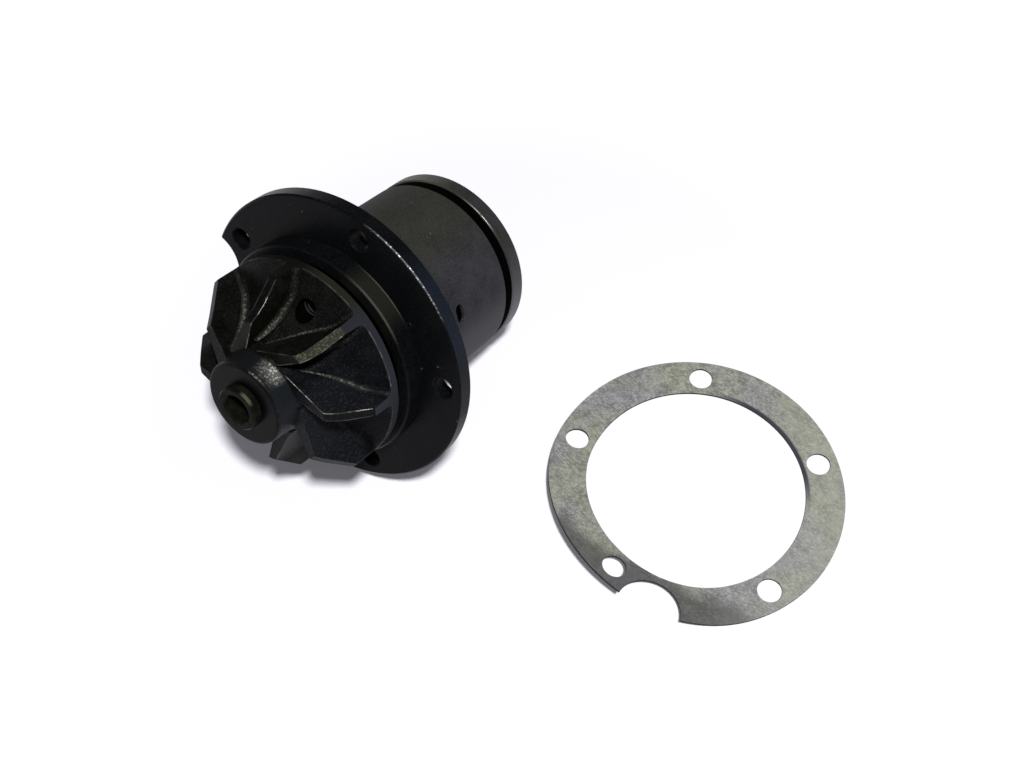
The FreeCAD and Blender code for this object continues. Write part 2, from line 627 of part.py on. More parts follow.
# ---- gasket, in its own frame: it lies in the XY plane with its top side to the impeller ----
def make_gasket():
    ring = tube(spigot_radius + GASKET_BORE_CLEARANCE, flange_radius, 0, GASKET_THICKNESS)
    notch = cylinder(NOTCH_RADIUS, -1, GASKET_THICKNESS + 1)
    notch.translate(on_clock(flange_radius, NOTCH_CLOCK - FIRST_BOLT_CLOCK))
    drill = cylinder(GASKET_HOLE_DIAMETER / 2, -1, GASKET_THICKNESS + 1)
    return drilled(ring.cut(notch), drill, bolt_circle_radius, around(BOLT_COUNT))


# ---- laying the pump and the gasket down ----
def lean_angle():
    """Tilt of the axis when the back edges of the flange and of the hub both touch the surface."""
    return math.atan2(flange_radius - HUB_DIAMETER / 2, flange_back - hub_back)


def lay_pump(shape, lean):
    """The impeller end points along -Y and up by the lean; the flange rim touches z = 0."""
    height = flange_radius * math.cos(lean) - (flange_back + EDGE_CHAMFER) * math.sin(lean)
    copy = shape.copy()
    copy.rotate(ORIGIN, Vector(1, 0, 0), 90 - math.degrees(lean))
    copy.translate(Vector(0, 0, height))
    return copy


def lay_gasket(shape):
    copy = shape.copy()
    copy.rotate(ORIGIN, Z_AXIS, GASKET_TURN)
    copy.translate(Vector(GASKET_OFFSET_X, GASKET_OFFSET_Y, 0))
    return copy


def make_pump_pieces():
    pieces = {
        "pump_housing": make_housing(),
        "impeller": make_impeller(),
        "shaft": make_shaft(),
        "pulley_hub": make_hub(),
        "bearing_spacer": make_spacer(),
        "bearing_circlip": make_circlip(),
        "coolant_slinger": make_slinger(),
        "seal_cup": make_seal_cup(),
        "seal_bellows": make_bellows(),
        "seal_spring": make_spring(),
        "seal_drive_band": make_drive_band(),
        "carbon_face": make_carbon(),
        "seal_seat": make_seat(),
        "seat_grommet": make_grommet(),
    }
    for piece, shape in make_ball_bearing(front_bearing_back).items():
        pieces["front_bearing_" + piece] = shape
    for piece, shape in make_roller_bearing(rear_bearing_back).items():
        pieces["rear_bearing_" + piece] = shape
    return pieces


def main():
    lean = lean_angle()
    laid = {name: lay_pump(shape, lean) for name, shape in make_pump_pieces().items()}
    laid["mounting_gasket"] = lay_gasket(make_gasket())
    box = Part.makeCompound(list(laid.values())).optimalBoundingBox(False, False)
    to_origin = Vector(-box.Center.x, -box.Center.y, 0)
    os.makedirs("parts", exist_ok=True)
    for name, shape in laid.items():
        shape.translate(to_origin)
        shape.exportStep(f"parts/{name}.step")
        solids = len(shape.Solids)
        print(f"{name:28s} solids {solids}  volume {shape.Volume:10.1f}  valid {shape.isValid()}")
    shaft_origin = lay_pump(Part.Vertex(0, 0, 0), lean).Point + to_origin
    gasket_centre = lay_gasket(Part.Vertex(0, 0, 0)).Point + to_origin
    print(f"lean {math.degrees(lean):.4f} deg, box {box.XLength:.2f} x {box.YLength:.2f} x {box.ZLength:.2f}")
    print(f"lowest {box.ZMin:.4f}, flange face centre {tuple(round(v, 4) for v in shaft_origin)}, "
          f"gasket centre {tuple(round(v, 4) for v in gasket_centre)}")


main()
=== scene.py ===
# %% [markdown]
# # Engine water pump with its flange gasket
#
# A water pump of this kind is a cartridge: an iron housing that bolts to the engine by a round flange, a
# shaft on two bearings inside it, an impeller at the wet end and a pulley hub at the dry end. The new
# gasket for the flange lies beside it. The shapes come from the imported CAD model, so this file is mostly
# about surfaces: what each piece is made of, how it was cast, turned or ground, and how light meets it.

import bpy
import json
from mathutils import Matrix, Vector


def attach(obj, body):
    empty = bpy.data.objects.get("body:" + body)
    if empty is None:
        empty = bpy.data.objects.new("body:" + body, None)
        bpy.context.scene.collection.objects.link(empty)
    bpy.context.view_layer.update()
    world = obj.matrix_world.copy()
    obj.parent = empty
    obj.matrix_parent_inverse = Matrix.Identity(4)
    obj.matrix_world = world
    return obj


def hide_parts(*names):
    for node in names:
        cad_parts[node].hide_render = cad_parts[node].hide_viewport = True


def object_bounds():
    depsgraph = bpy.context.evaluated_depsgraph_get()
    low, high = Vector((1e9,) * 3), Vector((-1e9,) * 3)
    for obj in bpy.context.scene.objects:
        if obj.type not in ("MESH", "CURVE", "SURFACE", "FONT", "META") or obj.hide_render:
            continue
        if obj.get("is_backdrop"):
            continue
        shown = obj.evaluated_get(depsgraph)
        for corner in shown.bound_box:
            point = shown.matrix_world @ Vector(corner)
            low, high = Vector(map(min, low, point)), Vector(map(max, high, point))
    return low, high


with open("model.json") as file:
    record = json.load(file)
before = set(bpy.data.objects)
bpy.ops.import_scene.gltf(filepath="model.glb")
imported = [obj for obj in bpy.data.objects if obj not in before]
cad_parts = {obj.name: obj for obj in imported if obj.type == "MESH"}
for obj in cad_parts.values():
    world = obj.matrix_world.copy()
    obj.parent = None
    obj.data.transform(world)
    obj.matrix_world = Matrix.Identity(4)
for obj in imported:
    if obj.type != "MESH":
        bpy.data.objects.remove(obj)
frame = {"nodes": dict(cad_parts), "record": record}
cad_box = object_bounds()
print("the CAD model's box in metres:", cad_box)

# %% [markdown]
# ## Units and directions
#
# Blender works in metres and a drawing of a pump in millimetres. The pump lies on its side, leaning on the
# rims of its flange and its hub, so its own axis is tilted. The shaft's hinge is in the record, with a
# point on the axis and a direction. That point is the centre of the flange's face, so nothing has to be
# measured again: a matrix made from the two takes a point from the pump's own axes to the scene's.

# %% Find the pump's own axis
import functools
import json
import math

import bmesh
import bpy
import numpy as np
from mathutils import Matrix, Quaternion, Vector

MM = 0.001
joints = {joint["name"]: joint for joint in frame["record"]["behaviour"]["joints"]}
mounts = {mount["name"]: mount for mount in frame["record"]["mounts"]}
flange_centre = Vector(joints["rotor_spin"]["pos_m"])
pump_axis = Vector(joints["rotor_spin"]["axis"]).normalized()
gasket_centre = Vector(mounts["gasket_bore"]["pos_m"]) * Vector((1, 1, 0))
pump_turn = math.pi / 2 - math.asin(pump_axis.z)
pump_to_scene = Matrix.Translation(flange_centre) @ Matrix.Rotation(pump_turn, 4, "X")
print("flange centre in mm:", [round(value / MM, 2) for value in flange_centre])
print("the matrix turns +Z into", [round(value, 4) for value in pump_to_scene.to_3x3() @ Vector((0, 0, 1))])
print("and the record's axis is", [round(value, 4) for value in pump_axis])

# %% [markdown]
# ## The camera
#
# The camera comes early, so that every later look is through it. It stands at an azimuth, an elevation and
# a distance from a point on the surface. Turning to face that point leaves one freedom, a small roll of
# the camera about its own view.

# %% Camera
look_at = Vector((-19.35, 18.89, 0)) * MM
azimuth = math.radians(36.15)
elevation = math.radians(57.64)
camera_distance = 483.7
roll = math.radians(-0.665)
outward = Vector((math.sin(azimuth) * math.cos(elevation), -math.cos(azimuth) * math.cos(elevation),
                  math.sin(elevation)))
camera = bpy.data.objects.new("camera", bpy.data.cameras.new("camera"))
bpy.context.scene.collection.objects.link(camera)
camera.location = look_at + outward * camera_distance * MM
camera.rotation_mode = "QUATERNION"
camera.rotation_quaternion = (-outward).to_track_quat("-Z", "Y") @ Quaternion((0, 0, 1), roll)
camera.data.lens = 46.2
camera.data.clip_start = 0.01
bpy.context.scene.camera = camera
print("camera at", [round(value, 3) for value in camera.location], "m, lens", camera.data.lens, "mm")

# %% [markdown]
# ## Helpers for shaders
#
# Foundries, paint shops and this file name colours as sRGB hex, while Blender's shaders work in
# linear light, so one function converts. The second adds one shader node with its settings and links and
# gives back its output, so that nodes can be nested as a sum is written. A new material comes with a copy
# of it that already knows the material's tree. Settings used again and again get a short name.

# %% Colour and node helpers
def linear(hex_colour):
    """sRGB hex, such as "#30312f", as linear red, green, blue and alpha."""
    values = [int(hex_colour[i:i + 2], 16) / 255 for i in (1, 3, 5)]
    return tuple(v / 12.92 if v <= 0.04045 else ((v + 0.055) / 1.055) ** 2.4 for v in values) + (1.0,)


def add_node(tree, kind, settings, inputs, output=None):
    """Adds a node. An input is named or numbered, and is a value, a hex colour or a node's output."""
    node = tree.nodes.new("ShaderNode" + kind)
    for name, value in settings.items():
        setattr(node, name, value)
    for name, value in inputs.items():
        socket = node.inputs[name] if isinstance(name, int) else next(
            one for one in node.inputs if one.name == name and one.enabled)
        if isinstance(value, bpy.types.NodeSocket):
            tree.links.new(value, socket)
        else:
            socket.default_value = linear(value) if isinstance(value, str) else value
    usable = [one for one in node.outputs if one.enabled and (output is None or one.name == output)]
    return usable[0] if usable else node


def new_material(name):
    """An empty material, and add_node with the material's tree already given."""
    material = bpy.data.materials.new(name)
    material.use_nodes = True
    material.node_tree.nodes.clear()
    return material, functools.partial(add_node, material.node_tree)


ADD = {"operation": "ADD", "use_clamp": True}
TIMES = {"operation": "MULTIPLY"}
TIMES_ADD = {"operation": "MULTIPLY_ADD"}
SINE = {"operation": "SINE"}
DOT = {"operation": "DOT_PRODUCT"}
LENGTH = {"operation": "LENGTH"}
SOFT_STEP = {"interpolation_type": "SMOOTHSTEP"}
COLOUR = {"data_type": "RGBA"}
print("black iron #30312f in linear light:", [round(value, 4) for value in linear("#30312f")[:3]])

# %% [markdown]
# ## A ruler inside the shader
#
# Turning marks run round the pump's axis and casting grain doesn't, so a shader needs to know where a
# point is on the pump: how far from the axis, how far along it, and at which angle. A Mapping node of type
# Texture undoes the pump's place and tilt and divides by a millimetre, so that the Scale of a noise is the
# number of its grains in a millimetre. It starts from Object coordinates, because they ride with a piece
# when it turns, so the marks turn with the shaft.

# %% Pump coordinates in millimetres
def pump_coordinates(add):
    """The point in the pump's own axes in mm, its radius, its place along the axis, its angle in degrees."""
    place = add("TexCoord", {}, {}, "Object")
    point = add("Mapping", {"vector_type": "TEXTURE"}, {
        "Vector": place, "Location": flange_centre, "Rotation": (pump_turn, 0, 0), "Scale": (MM, MM, MM)})
    split = add("SeparateXYZ", {}, {0: point}).node.outputs
    across = add("VectorMath", TIMES, {0: point, 1: (1, 1, 0)})
    radius = add("VectorMath", LENGTH, {0: across}, "Value")
    angle = add("Math", {"operation": "ARCTAN2"}, {0: split["X"], 1: split["Y"]})
    angle = add("Math", {"operation": "DEGREES"}, {0: angle})
    return point, radius, split["Z"], angle


print("the flange's face is at 0 mm; seen from the impeller, 0 degrees is at the top and 90 at the right")

# %% [markdown]
# ## Masks and coats
#
# A worn or oiled surface is a plain one with thin coats over it, each in its own place. A mask is a value
# between 0 and 1 that says where: between two places along the axis, between two angles, or where a noise
# is high. Masks that are multiplied overlap. So every finish below is one base colour and a list of coats,
# from the first that was laid on to the last.

# %% Masks and coats
def overlap(add, *masks):
    """1 where all the masks are 1. A mask is an output or a number, or a band (value, start, full), which
    can end again (value, start, full, fade, end)."""
    product = None
    for mask in masks:
        if isinstance(mask, tuple):
            value, start, full, *fall = mask
            mask = add("MapRange", SOFT_STEP, {"Value": value, "From Min": start, "From Max": full})
            if fall:
                mask = overlap(add, mask, (value, *reversed(fall)))
        product = mask if product is None else add("Math", TIMES, {0: product, 1: mask})
    return product


def lay_coats(add, skin, *coats):
    """Lays coats over a skin, first to last. A coat is a colour and the masks that say where it lies."""
    for colour, *masks in coats:
        skin = add("Mix", COLOUR, {"Factor": overlap(add, *masks), "A": skin, "B": colour})
    return skin


def close_material(add, skin, metallic, roughness, height, strength, depth_mm, specular=0.5):
    """Bumps the surface by a height, and leads everything to the material's output."""
    normal = add("Bump", {}, {"Strength": strength, "Distance": depth_mm * MM, "Height": height})
    surface = add("BsdfPrincipled", {}, {
        "Base Color": skin, "Metallic": metallic, "Roughness": roughness, "Normal": normal,
        "Specular IOR Level": specular})
    add("OutputMaterial", {}, {"Surface": surface})


print("a band such as (along, 0.4, 1.2) is 0 below 0.4 mm and 1 above 1.2 mm")

# %% [markdown]
# ## Phosphated cast iron: the housing
#
# The housing is grey cast iron. Flange, spigot and barrel are turned on a lathe, and the whole piece is
# phosphated and oiled: a thin crystal layer that turns iron nearly black and takes most of its shine. To
# the eye the barrel is a soft dark grey with a fine grain and the flange is deeper black, with painted
# light on the flange's rim, low on the barrel and on the spigot near the top. Where the flange's front
# edge was knocked in handling, bare iron glints through in small chips; they lie only near the top,
# where the lamp's glint falls, so they are also a painted glint.

# %% Sizes of the housing
# Radii, and heights along the axis from the flange's face, in millimetres, here and in what follows.
flange_radius = 52.0
flange_back = -6.0
barrel_radius = 32.5
spigot_radius = 38.0
spigot_front = 8.0
ring_spacing = 0.7
print("the flange is", 2 * flange_radius, "mm across and the barrel behind it", 2 * barrel_radius, "mm")

# %% Colours and chips of the housing
def flange_black(add, radius, angle, cloud):
    """Nearly black, with painted light on the rim: bluish at the upper right and paler below."""
    rim = (radius, flange_radius - 0.15, flange_radius - 0.05)
    return lay_coats(
        add, "#050608",
        ("#090a0c", cloud),
        ("#151b24", rim, (angle, 20, 40, 60, 85)),
        ("#232425", rim, (angle, 60, 90, 125, 150)))


def barrel_grey(add, angle, cloud):
    """Olive on top and lavender down the right, where painted light makes it paler low down."""
    olive = lay_coats(add, "#2a2b26", ("#2f2f2b", cloud))
    lavender = lay_coats(add, "#28282c", ("#323237", cloud))
    return lay_coats(
        add, olive,
        (lavender, (angle, 15, 45, 150, 178)),
        ("#48484b", (angle, 66, 92, 150, 178)))


def edge_chips_and_glint(add, point, radius, along, angle):
    """Where the phosphate is chipped off: a dotted line on the front edge of the flange near its top, where
    the lamp's glint falls, so it is also a painted glint.
    """
    # Chips under a millimetre long, on an edge that is rubbed grey all along.
    chips = add("TexNoise", {}, {"Vector": point, "Scale": 1.3, "Detail": 2.0})
    chips = add("MapRange", SOFT_STEP, {"Value": chips, "From Min": 0.48, "From Max": 0.62, "To Min": 0.18})
    edge = (radius, flange_radius - 0.45, flange_radius - 0.25)
    return overlap(add, (along, -0.62, -0.50), edge, (angle, 6, 18, 34, 54), chips)


print("the chips run along the edge at radius", flange_radius, "mm")

# %% Phosphated cast iron
def make_phosphated_iron():
    """A nearly black crystal skin, grey on the barrel, under dust and chips, with painted light and painted
    highlights.
    """
    material, add = new_material("phosphated cast iron")
    point, radius, along, angle = pump_coordinates(add)
    barrel = overlap(add, (along, flange_back - 0.2, flange_back - 1.6))
    # Blotches of crystal and oil, about 10 mm across.
    blotches = add("TexNoise", {}, {"Vector": point, "Scale": 1 / 10, "Detail": 4.0, "Roughness": 0.6})
    cloud = overlap(add, (blotches, 0.36, 0.66))
    # Crystal grain is a few hundredths of a millimetre; it is drawn at 0.6 mm so that it shows.
    grain = add("TexNoise", {}, {"Vector": point, "Scale": 1.7, "Detail": 3.0, "Roughness": 0.7})
    dust = add("Mix", {}, {"Factor": barrel, "A": 0.03, "B": 0.10})
    # A few knocks the size of a grain of rice show grey.
    knocks = add("TexNoise", {}, {"Vector": point, "Scale": 1 / 2.5, "Detail": 1.0})
    # A painted sheen lies on the foot of the spigot's side and on its front edge near the top, and each ends
    # in a brighter painted highlight line.
    side = overlap(add, (along, 0.4, 1.2), (angle, 8, 22, 34, 50))
    lip = overlap(add, (along, spigot_front - 0.8, spigot_front - 0.4), (angle, 10, 26, 40, 56))
    chips = edge_chips_and_glint(add, point, radius, along, angle)
    skin = lay_coats(
        add, flange_black(add, radius, angle, cloud),
        (barrel_grey(add, angle, cloud), barrel),
        ("#77776f", (grain, 0.38, 0.70), dust),
        ("#8f8f8a", (knocks, 0.75, 0.82), 0.22),
        # Below the barrel's surface, in the weep hole and the bore, oil and shade make it black.
        ("#030303", (radius, barrel_radius - 0.3, barrel_radius - 0.7), barrel),
        # Painted sheen and painted highlight lines on the spigot.
        ("#20211c", side),
        ("#77786d", (along, 1.7, 1.3), side),
        ("#12130f", lip),
        ("#42433b", (radius, spigot_radius - 0.55, spigot_radius - 0.35), lip),
        # Chipped bare iron, which is also a painted glint near the top of the flange's edge.
        ("#c9cac8", chips))
    rough = add("Mix", {}, {"Factor": barrel, "A": 0.34, "B": 0.60})
    rough = add("Mix", {}, {"Factor": chips, "A": rough, "B": 0.3})
    # Fine rings left by the lathe tool, on the flange and spigot only.
    rings = add("Math", TIMES, {0: radius, 1: 2 * math.pi / ring_spacing})
    rings = add("Math", SINE, {0: rings})
    rings = add("Mix", {}, {"Factor": barrel, "A": rings, "B": 0.0})
    height = add("Math", TIMES_ADD, {0: rings, 1: 0.05, 2: grain})
    close_material(add, skin, chips, rough, height, strength=0.5, depth_mm=0.10, specular=0.035)
    return material


phosphated_iron = make_phosphated_iron()
print(phosphated_iron.name, "has", len(phosphated_iron.node_tree.nodes), "nodes")

# %% [markdown]
# ## Sand-cast iron: the impeller
#
# The impeller comes out of a sand mould, so its floor and vanes carry the grain of the sand: to the eye,
# dark and rough, with small sparks. Only two places are machined. The rim and the ends of the vanes are
# turned together and come out smooth, with painted light that is olive at the top and bluish lower down
# and painted shade on the far side, and the slanting tops of the vanes are trimmed to clear the engine's
# cover. They are dark with oil, and on one vane a painted highlight makes the top gold. The roots of the
# vanes are rubbed bare and carry a painted glint, and their sharp top edges are rubbed bare.

# %% Sizes of the impeller
rim_radius = 36.5
rim_front = 14.3
heel_height = 22.2
inlet_corner = 25.9
inlet_height = 34.3
boss_radius = 14.5
boss_height = 42.0
land_slope = (inlet_height - heel_height) / (rim_radius - inlet_corner)
puller_circle = 26.0
puller_clock = math.radians(5.5)
puller_axis = (puller_circle * math.sin(puller_clock), puller_circle * math.cos(puller_clock), 0)
core_radius = 3.4
ridge_depth = 0.42
print("the tops of the vanes fall", round(land_slope, 3), "mm for each millimetre out to the rim")

# %% Trimmed, turned and rubbed places
def trimmed_tops(add, radius, along, angle, sparks):
    """Where the tops of the vanes are trimmed, and their colour. On one vane the top is gold with a painted
    highlight.
    """
    # The tops lie on one cone, on which along + radius * slope is the same everywhere.
    cone = add("Math", TIMES_ADD, {0: radius, 1: land_slope, 2: along})
    top = inlet_height + land_slope * inlet_corner
    land = overlap(add, (cone, top - 0.5, top - 0.2), (radius, inlet_corner - 1.5, inlet_corner - 0.5))
    oily = lay_coats(add, "#0b0b0c", ("#1a1a19", sparks))
    golden_highlight = lay_coats(add, "#272820", ("#5b5b46", sparks))
    return land, lay_coats(add, oily, (golden_highlight, (angle, 8, 16, 46, 54)))


def turned_rim_painted_light(add, radius, angle):
    """Where the rim is turned, and its colour with painted light: olive at the top, bluish lower down, and
    dark with painted shade on the far side.
    """
    turned = overlap(add, (radius, rim_radius - 0.35, rim_radius - 0.15))
    lathe = lay_coats(add, "#24241e", ("#2b2c31", (angle, 20, 36, 120, 150)))
    return turned, lay_coats(add, "#121210", (lathe, (angle, -10, 6, 124, 146)))


def rubbed_roots_and_glint(add, radius, angle):
    """The roots of the vanes are rubbed bare, most of all near the hub, and carry a painted glint, which
    leaves out the vanes at the bottom.
    """
    roots = add("Attribute", {"attribute_name": "root_wear"}, {}, "Fac")
    near_hub = add("MapRange", SOFT_STEP, {
        "Value": radius, "From Min": 33.0, "From Max": 18.0, "To Min": 0.15})
    return overlap(add, roots, near_hub, (angle, -170, -150, 86, 104))


def knocked_edges(add, point):
    """Sharp edges are knocked bare in patches about 4 mm long."""
    edges = add("Attribute", {"attribute_name": "edge_wear"}, {}, "Fac")
    patches = add("TexNoise", {}, {"Vector": point, "Scale": 1 / 4, "Detail": 3.0, "Roughness": 0.6})
    patches = add("MapRange", SOFT_STEP, {
        "Value": patches, "From Min": 0.42, "From Max": 0.60, "To Min": 0.12})
    return overlap(add, patches, edges)


print("the cone of the tops meets the axis", round(inlet_height + land_slope * inlet_corner, 2), "mm up")

# %% Puller holes
def puller_holes(add, point):
    """Painted shade inside the puller holes, and painted light on the crests of their thread."""
    # The two holes lie opposite, so one half is mirrored onto the other.
    half = add("SeparateXYZ", {}, {0: point}).node
    half = add("Math", {"operation": "SIGN"}, {0: half.outputs["Y"]})
    across = add("VectorMath", {"operation": "SCALE"}, {0: point, "Scale": half})
    across = add("VectorMath", TIMES, {0: across, 1: (1, 1, 0)})
    from_axis = add("VectorMath", {"operation": "DISTANCE"}, {0: across, 1: puller_axis}, "Value")
    deep = add("MapRange", SOFT_STEP, {"Value": from_axis, "From Min": core_radius - ridge_depth,
                                       "From Max": core_radius - 0.1, "To Min": 0.5})
    hole = overlap(add, (from_axis, core_radius + 0.06, core_radius + 0.02), deep)
    return hole, overlap(add, (from_axis, core_radius - 0.2, core_radius - 0.38))


print("a puller hole is at", [round(value, 2) for value in puller_axis], "mm")

# %% Sand-cast iron with machined lands
def make_sand_cast_iron():
    """Dark sand grain with sparks, under turned and trimmed places and bare iron, with painted light, painted
    shade and painted highlights.
    """
    material, add = new_material("sand-cast iron")
    point, radius, along, angle = pump_coordinates(add)
    # Sand of 0.7 mm grit, on lumps of the mould about 5 mm across.
    sand = add("TexNoise", {}, {"Vector": point, "Scale": 1.4, "Detail": 4.0, "Roughness": 0.62})
    lumps = add("TexNoise", {}, {"Vector": point, "Scale": 1 / 5, "Detail": 3.0, "Roughness": 0.55})
    sparks = overlap(add, (sand, 0.48, 0.70))
    speckle = add("MapRange", {}, {"Value": sparks, "To Min": 0.12})
    shade = overlap(add, (lumps, 0.35, 0.70))
    # A bluish, darker copy of the skin, for painted shade.
    bluish = lay_coats(add, "#07080a", ("#101115", shade))
    painted_light_faces = lay_coats(add, "#131417", ("#2a2b2e", sparks))
    flank_painted_light = lay_coats(add, "#161719", ("#1a1d20", (angle, 5, 35, 105, 140)))
    flank = overlap(add, (radius, 17.0, 15.6), (along, 34.0, 35.0, boss_height - 1.2, boss_height - 0.4))
    face = overlap(add, (along, boss_height - 0.4, boss_height - 0.1))
    chips = knocked_edges(add, point)
    land, trimmed = trimmed_tops(add, radius, along, angle, sparks)
    turned, lathe = turned_rim_painted_light(add, radius, angle)
    hole, crest = puller_holes(add, point)
    skin = lay_coats(
        add, "#090a08",
        ("#121310", shade),
        # Down the right side and below, the skin turns bluish and darker as painted shade.
        (bluish, (angle, 0, 60, 150, 178)),
        ("#55564f", sparks, 0.10),
        # The upper faces of the third and fourth vane are painted lighter as painted light, and the floor
        # below them is painted black as a painted shadow.
        (painted_light_faces, (along, 16.5, 20.0), (angle, 50, 62, 122, 134)),
        ("#030304", (along, 17.0, 15.0), (angle, 82, 92, 150, 170)),
        # The flank of the hub is painted bluish grey, lighter to the right, as painted light, and a painted
        # highlight runs along its upper foot.
        (flank_painted_light, flank),
        ("#dcdbcf", (along, boss_height - 0.6, boss_height - 6.0), flank, (angle, -2, 22, 27, 43), speckle),
        # The face of the boss is smooth and dark, and a painted highlight lies on its rounded edge near the
        # top.
        ("#060607", face),
        ("#8e8d84", (along, boss_height - 0.95, boss_height - 0.7, boss_height - 0.4, boss_height - 0.1),
         (angle, 0, 10, 20, 32), speckle),
        # The roots are rubbed bare and carry a painted glint.
        ("#7f7f72", speckle, rubbed_roots_and_glint(add, radius, angle)),
        (trimmed, land),
        (lathe, turned),
        ("#a3a298", chips),
        # Painted shade inside the puller holes, and painted light on the crests of their thread.
        ("#030303", hole),
        ("#3c3d38", crest))
    machined = land
    for mask in (turned, chips, face):
        machined = add("Math", ADD, {0: machined, 1: mask})
    rough = add("Mix", {}, {"Factor": machined, "A": 0.36, "B": 0.34})
    height = add("Math", TIMES_ADD, {0: lumps, 1: 0.6, 2: sand})
    depth = add("MapRange", {}, {"Value": machined, "To Min": 1.0, "To Max": 0.12})
    height = add("Math", TIMES, {0: height, 1: depth})
    close_material(add, skin, chips, rough, height, strength=0.7, depth_mm=0.3, specular=0.045)
    return material


sand_cast_iron = make_sand_cast_iron()
print(sand_cast_iron.name, "has", len(sand_cast_iron.node_tree.nodes), "nodes")

# %% [markdown]
# ## Turned steel: the pulley hub
#
# The hub is turned all over and then blackened in hot salts. The flat front and the rim keep the grooves
# of the lathe tool, and the corner between them is worn to bright metal for a short way near the top,
# where it also carries a painted highlight. To the eye the rim is as dark as the barrel; painted light
# makes it olive at the upper left and paler low down on the right. The front, close behind the barrel,
# is black.

# %% Turned and blackened steel
hub_front = -58.9
hub_radius = 32.5
groove_spacing = 0.5


def make_blackened_steel():
    """A cloudy black skin with tool grooves, with painted light on the rim and a painted highlight on its
    worn front edge.
    """
    material, add = new_material("turned and blackened steel")
    point, radius, along, angle = pump_coordinates(add)
    # Clouds from the salt bath, about 6 mm across.
    blotches = add("TexNoise", {}, {"Vector": point, "Scale": 0.16, "Detail": 3.0, "Roughness": 0.6})
    rubbed = add("TexNoise", {}, {"Vector": point, "Scale": 1 / 2, "Detail": 2.0})
    front_edge = (along, hub_front - 0.45, hub_front - 0.3)
    outer_edge = (radius, hub_radius - 0.45, hub_radius - 0.3)
    worn_and_glint = overlap(add, front_edge, outer_edge, (rubbed, 0.30, 0.50), (angle, 6, 18, 26, 40))
    skin = lay_coats(
        add, "#2b2a26",
        ("#343436", (blotches, 0.35, 0.68)),
        # Painted light: paler low down on the right and olive at the upper left.
        ("#5e5e61", (angle, 55, 100, 150, 178)),
        ("#45463b", (angle, -60, -30, -18, 2)),
        # The front face behind the barrel is made black.
        ("#040404", (along, hub_front - 0.2, hub_front - 0.05)),
        # The worn front edge near the top also carries a painted highlight.
        ("#8d8c88", worn_and_glint))
    metal = add("MapRange", {}, {"Value": worn_and_glint, "To Min": 0.1})
    rough = add("MapRange", {}, {"Value": worn_and_glint, "To Min": 0.46, "To Max": 0.3})
    # Tool grooves: round the axis on the flats, and side by side on the rim.
    groove = add("Math", {"operation": "ADD"}, {0: radius, 1: along})
    groove = add("Math", TIMES, {0: groove, 1: 2 * math.pi / groove_spacing})
    groove = add("Math", SINE, {0: groove})
    height = add("Math", TIMES_ADD, {0: groove, 1: 0.15, 2: blotches})
    close_material(add, skin, metal, rough, height, strength=0.5, depth_mm=0.05, specular=0.12)
    return material


blackened_steel = make_blackened_steel()
print(blackened_steel.name, "has", len(blackened_steel.node_tree.nodes), "nodes")

# %% [markdown]
# ## Ground steel: the shaft
#
# The end of the shaft shows in the middle of the impeller. It is ground, with scratches finer than a hair
# running round it, and then oiled, so to the eye it is a dark olive grey, with a painted highlight along
# its rounded edge near the top.

# %% Ground steel
def make_ground_steel():
    """Dark, oily steel with fine scratches round the axis."""
    material, add = new_material("ground steel")
    point, radius, along, angle = pump_coordinates(add)
    # The oil lies in drops about 2 mm across.
    film = add("TexNoise", {}, {"Vector": point, "Scale": 0.45, "Detail": 4.0, "Roughness": 0.6})
    film = overlap(add, (film, 0.35, 0.65))
    # A painted highlight lies on the rounded edge of the nose near its top.
    skin = lay_coats(
        add, "#0e0e0b",
        ("#191914", film),
        ("#4f503c", (along, 43.7, 44.2), (radius, 7.0, 7.2), (angle, 2, 18, 32, 52)))
    rough = add("MapRange", {}, {"Value": film, "To Min": 0.36, "To Max": 0.28})
    # Grinding scratches are 0.02 mm apart; they are drawn at 0.25 mm.
    scratch = add("Mapping", {}, {"Vector": point, "Scale": (0.4, 0.4, 4.0)})
    scratch = add("TexNoise", {}, {"Vector": scratch, "Scale": 1.0, "Detail": 3.0})
    close_material(add, skin, 0.0, rough, scratch, strength=0.3, depth_mm=0.03, specular=0.02)
    return material


ground_steel = make_ground_steel()
print(ground_steel.name, "has", len(ground_steel.node_tree.nodes), "nodes")

# %% [markdown]
# ## The pieces inside
#
# Bearings, seal and retaining ring are closed in, and only slivers of them show through the gaps. Each
# still gets the finish it has in a workshop, because a part is also looked at in pieces. They differ in
# colour, shine and the direction of their marks, so one recipe with those as its values is enough.

# %% Finishes of the inner pieces
def make_inner_finish(name, dark, light, metal, rough, grain_mm, stretch=(1, 1, 1)):
    """Two close colours and a grain of a real size. Stretch draws the grain out along the pump's axes."""
    material, add = new_material(name)
    point = add("Mapping", {}, {"Vector": pump_coordinates(add)[0], "Scale": stretch})
    grain = add("TexNoise", {}, {"Vector": point, "Scale": 1.0 / grain_mm, "Detail": 3.0})
    clear = overlap(add, (grain, 0.35, 0.65))
    skin = lay_coats(add, dark, (light, clear))
    sheen = add("MapRange", {}, {"Value": clear, "To Min": rough + 0.06, "To Max": rough - 0.04})
    close_material(add, skin, metal, sheen, grain, strength=0.4, depth_mm=0.02)
    return material


